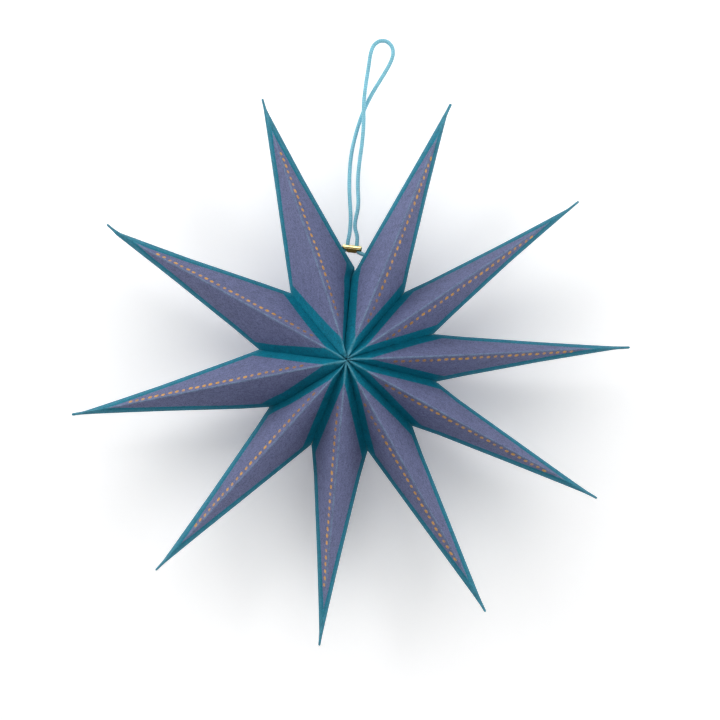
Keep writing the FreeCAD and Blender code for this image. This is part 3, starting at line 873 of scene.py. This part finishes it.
def brass_material():
    """Polished brass, its polish a little uneven, with a painted dark reflection below a line along the
    clamp.
    """
    material, tree, shader = start_material("polished_brass")
    space = wire(tree, "TexCoord", {}, output="Object")
    haze = noise(tree, space, 900.0, 4.0, 0.65)
    bright = blend_colours(tree, fade(tree, haze, 0.35, 0.7), linear(250, 232, 176), linear(232, 204, 128))
    across, _, up = parts_of(tree, space)
    # Painted dark reflection: below a tilted line along the clamp the brass is coloured a dark olive.
    rise = sums(tree, "MULTIPLY_ADD", across, CLAMP_TILT, up)
    colour = blend_colours(tree, fade(tree, rise, *PAINTED_REFLECTION_EDGE), PAINTED_DARK_REFLECTION, bright)
    tree.links.new(colour, shader.inputs["Base Color"])
    tree.links.new(fade(tree, haze, 0.3, 0.75, 0.1, 0.22), shader.inputs["Roughness"])
    shader.inputs["Metallic"].default_value = 1.0
    bump = wire(tree, "Bump", {"Strength": 0.12, "Distance": 0.00003, "Height": haze})
    tree.links.new(bump, shader.inputs["Normal"])
    return material


brass = brass_material()
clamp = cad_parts["brass_clamp"]
for holder in clamp.material_slots:
    holder.material = brass
if not clamp.material_slots:
    clamp.data.materials.append(brass)

# %% [markdown]
# ## Stage and light
#
# The star hangs close in front of a white wall. The wall and floor are pale and matt. The camera
# sees them paler than the light that they send on, so that they come out white without more light
# on the paper, and they still take its soft shadow. Seen from behind, the wall is left out, so
# that the star's back can be looked at too.

# %% Set the stage
WALL_PLACE = 0.034
FLOOR_PLACE = -0.8
STAGE_WHITE = 0.86


def stage_material(name, shown, one_sided):
    """Matt white. The camera and reflections see it paler than the light that it sends on."""
    material, tree, shader = start_material(name)
    path = tree.nodes.new("ShaderNodeLightPath")
    seen = sums(tree, "MAXIMUM", path.outputs["Is Camera Ray"], path.outputs["Is Glossy Ray"])
    seen = sums(tree, "MAXIMUM", seen, path.outputs["Is Transmission Ray"])
    level = wire(tree, "Mix", {"Factor": seen, 2: STAGE_WHITE, 3: shown})
    surface = wire(tree, "BsdfDiffuse", {"Color": wire(tree, "CombineColor", {0: level, 1: level, 2: level})})
    tree.nodes.remove(shader)
    output = next(node for node in tree.nodes if node.type == "OUTPUT_MATERIAL")
    if one_sided:
        behind = wire(tree, "NewGeometry", {}, output="Backfacing")
        surface = wire(tree, "MixShader", {0: behind, 1: surface, 2: wire(tree, "BsdfTransparent", {})})
    tree.links.new(surface, output.inputs["Surface"])
    return material


def stage_sheet(name, corners, material):
    """One flat sheet that isn't part of the object."""
    mesh = bpy.data.meshes.new(name)
    mesh.from_pydata(corners, [], [(0, 1, 2, 3)])
    mesh.materials.append(material)
    piece = bpy.data.objects.new(name, mesh)
    bpy.context.scene.collection.objects.link(piece)
    return piece


wall = stage_sheet(
    "wall",
    [(x, WALL_PLACE, z) for x, z in ((-2, FLOOR_PLACE), (2, FLOOR_PLACE), (2, 1.6), (-2, 1.6))],
    stage_material("white_wall", 1.34, True),
)
floor = stage_sheet(
    "floor",
    [(x, y, FLOOR_PLACE) for x, y in ((-2, -3), (2, -3), (2, 2), (-2, 2))],
    stage_material("white_floor", 1.2, False),
)


# %% [markdown]
# Three soft lamps stand for a room's windows: one high in front, one at the upper left, and one
# level with the star on the right. They were balanced against the brightness of the photograph's
# twenty front facets.

# %% Light the star
def soft_lamp(name, place, aim, width, height, power, colour=(1, 1, 1)):
    """Rectangular lamp at a place, facing a point."""
    data = bpy.data.lights.new(name, "AREA")
    data.shape = "RECTANGLE"
    data.size, data.size_y = width, height
    data.energy = power
    data.color = colour
    lamp = bpy.data.objects.new(name, data)
    lamp.location = place
    lamp.rotation_euler = (Vector(aim) - Vector(place)).to_track_quat("-Z", "Y").to_euler()
    bpy.context.scene.collection.objects.link(lamp)
    return lamp


STAR_MIDDLE = (-0.0188, -0.02, -0.1717)
soft_lamp("top_window", (-0.12, -0.75, 0.62), STAR_MIDDLE, 1.5, 0.8, 6.3)
soft_lamp("left_window", (-0.97, -0.45, 0.35), STAR_MIDDLE, 0.8, 0.9, 8.1)
soft_lamp("right_window", (1.04, -0.45, -0.04), STAR_MIDDLE, 0.8, 0.9, 6.9)
ROOM_DIM = 0.06
ROOM_LOW = 0.1
ROOM_HIGH = 1.0
world = bpy.data.worlds.new("room")
bpy.context.scene.world = world
world.use_nodes = True


def room_light(tree, background):
    """Dim light from all round. Seen or mirrored, the room is white above and darker in front."""
    background.inputs["Color"].default_value = (1.0, 0.985, 1.0, 1)
    path = tree.nodes.new("ShaderNodeLightPath")
    mirrored = sums(tree, "MAXIMUM", path.outputs["Is Glossy Ray"], path.outputs["Is Transmission Ray"])
    height = parts_of(tree, wire(tree, "TexCoord", {}, output="Generated"))[2]
    room = fade(tree, height, 0.0, 0.5, ROOM_LOW, ROOM_HIGH)
    strength = wire(tree, "Mix", {"Factor": mirrored, 2: ROOM_DIM, 3: room})
    strength = wire(tree, "Mix", {"Factor": path.outputs["Is Camera Ray"], 2: strength, 3: 1.0})
    tree.links.new(strength, background.inputs["Strength"])


room_light(world.node_tree, world.node_tree.nodes["Background"])
bpy.context.scene.view_settings.view_transform = "Standard"
